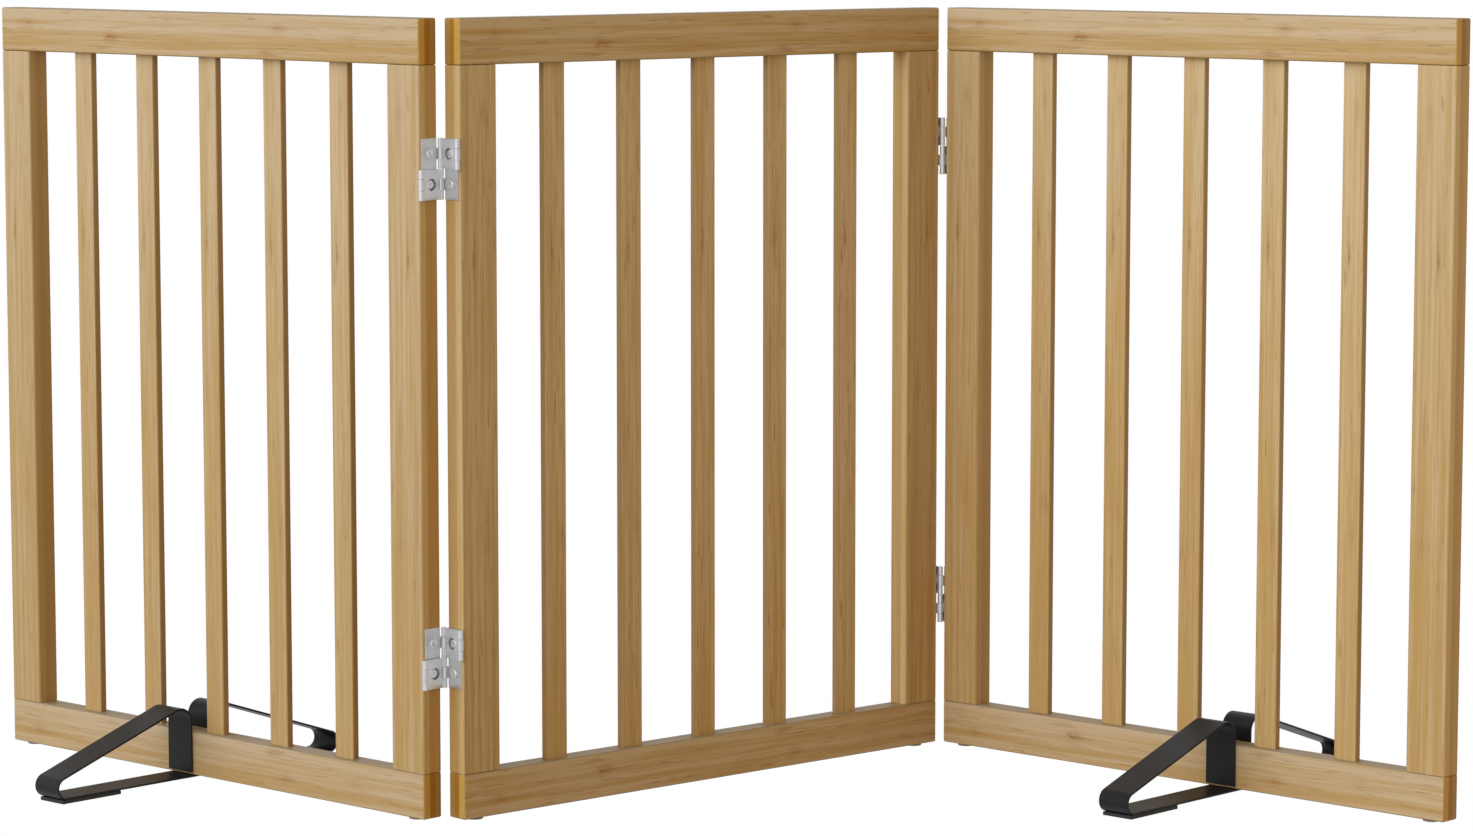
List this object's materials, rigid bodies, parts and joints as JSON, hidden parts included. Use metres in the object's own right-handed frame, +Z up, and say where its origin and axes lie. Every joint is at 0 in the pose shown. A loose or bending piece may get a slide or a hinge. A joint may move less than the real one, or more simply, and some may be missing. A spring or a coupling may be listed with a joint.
{
  "type": "pet gate",
  "caption": "Freestanding folding pet gate: slatted bamboo panels on double-action crossed-leaf hinges, standing in a zig-zag on slide-on feet of bent black steel strap.",
  "frame": {"origin": "on the floor, at the bottom centre of the bounding box, which is under the centre of the middle panel", "axes": "+X along the gate's overall run, towards the right panel; +Y from the front to the rear; +Z up. The middle panel stands at +42.2 degrees to +X and the outer panels at -42.2 degrees."},
  "size_m": [1.1478, 0.3562, 0.61],
  "materials": {
    "bamboo_rail": "satin lacquered carbonised-free natural bamboo, face laminated in three plies",
    "bamboo_stile": "satin lacquered natural bamboo, face laminated",
    "bamboo_slat": "satin lacquered natural bamboo strip",
    "glide": "plain grey nylon",
    "foot_steel": "satin black powder coat",
    "foot_rubber": "matt black rubber",
    "hinge_steel": "satin zinc-plated"
  },
  "bodies": {
    "middle_panel": {"middle_bottom_rail": "bamboo_rail", "middle_top_rail": "bamboo_rail", "middle_stile_1": "bamboo_stile", "middle_stile_2": "bamboo_stile", "middle_slat_1": "bamboo_slat", "middle_slat_2": "bamboo_slat", "middle_slat_3": "bamboo_slat", "middle_slat_4": "bamboo_slat", "middle_slat_5": "bamboo_slat", "middle_glide_1": "glide", "middle_glide_2": "glide", "left_upper_hinge_middle_plate": "hinge_steel", "left_upper_hinge_middle_leaf": "hinge_steel", "left_lower_hinge_middle_plate": "hinge_steel", "left_lower_hinge_middle_leaf": "hinge_steel", "right_upper_hinge_middle_plate": "hinge_steel", "right_upper_hinge_middle_leaf": "hinge_steel", "right_lower_hinge_middle_plate": "hinge_steel", "right_lower_hinge_middle_leaf": "hinge_steel"},
    "left_panel": {"left_bottom_rail": "bamboo_rail", "left_top_rail": "bamboo_rail", "left_stile_1": "bamboo_stile", "left_stile_2": "bamboo_stile", "left_slat_1": "bamboo_slat", "left_slat_2": "bamboo_slat", "left_slat_3": "bamboo_slat", "left_slat_4": "bamboo_slat", "left_slat_5": "bamboo_slat", "left_glide_1": "glide", "left_glide_2": "glide", "left_upper_hinge_outer_plate": "hinge_steel", "left_upper_hinge_outer_leaf": "hinge_steel", "left_lower_hinge_outer_plate": "hinge_steel", "left_lower_hinge_outer_leaf": "hinge_steel"},
    "right_panel": {"right_bottom_rail": "bamboo_rail", "right_top_rail": "bamboo_rail", "right_stile_1": "bamboo_stile", "right_stile_2": "bamboo_stile", "right_slat_1": "bamboo_slat", "right_slat_2": "bamboo_slat", "right_slat_3": "bamboo_slat", "right_slat_4": "bamboo_slat", "right_slat_5": "bamboo_slat", "right_glide_1": "glide", "right_glide_2": "glide", "right_upper_hinge_outer_plate": "hinge_steel", "right_upper_hinge_outer_leaf": "hinge_steel", "right_lower_hinge_outer_plate": "hinge_steel", "right_lower_hinge_outer_leaf": "hinge_steel"},
    "left_foot": {"left_foot_strap": "foot_steel", "left_foot_pad_front": "foot_rubber", "left_foot_pad_rear": "foot_rubber"},
    "right_foot": {"right_foot_strap": "foot_steel", "right_foot_pad_front": "foot_rubber", "right_foot_pad_rear": "foot_rubber"}
  },
  "joints": [
    {"name": "left_fold", "type": "hinge", "parent": "middle_panel", "child": "left_panel", "pos_m": [-0.19244, -0.16099, 0.3125], "axis": [0, 0, 1], "range_deg": [-65.6, 84.4]},
    {"name": "right_fold", "type": "hinge", "parent": "middle_panel", "child": "right_panel", "pos_m": [0.19244, 0.16099, 0.3125], "axis": [0, 0, 1], "range_deg": [-65.6, 84.4]},
    {"name": "left_foot_slide", "type": "slide", "parent": "left_panel", "child": "left_foot", "axis": [0.7408, -0.6717, 0], "range_m": [-0.1755, 0.022]},
    {"name": "right_foot_slide", "type": "slide", "parent": "right_panel", "child": "right_foot", "axis": [-0.7408, 0.6717, 0], "range_m": [-0.1705, 0.027]}
  ]
}
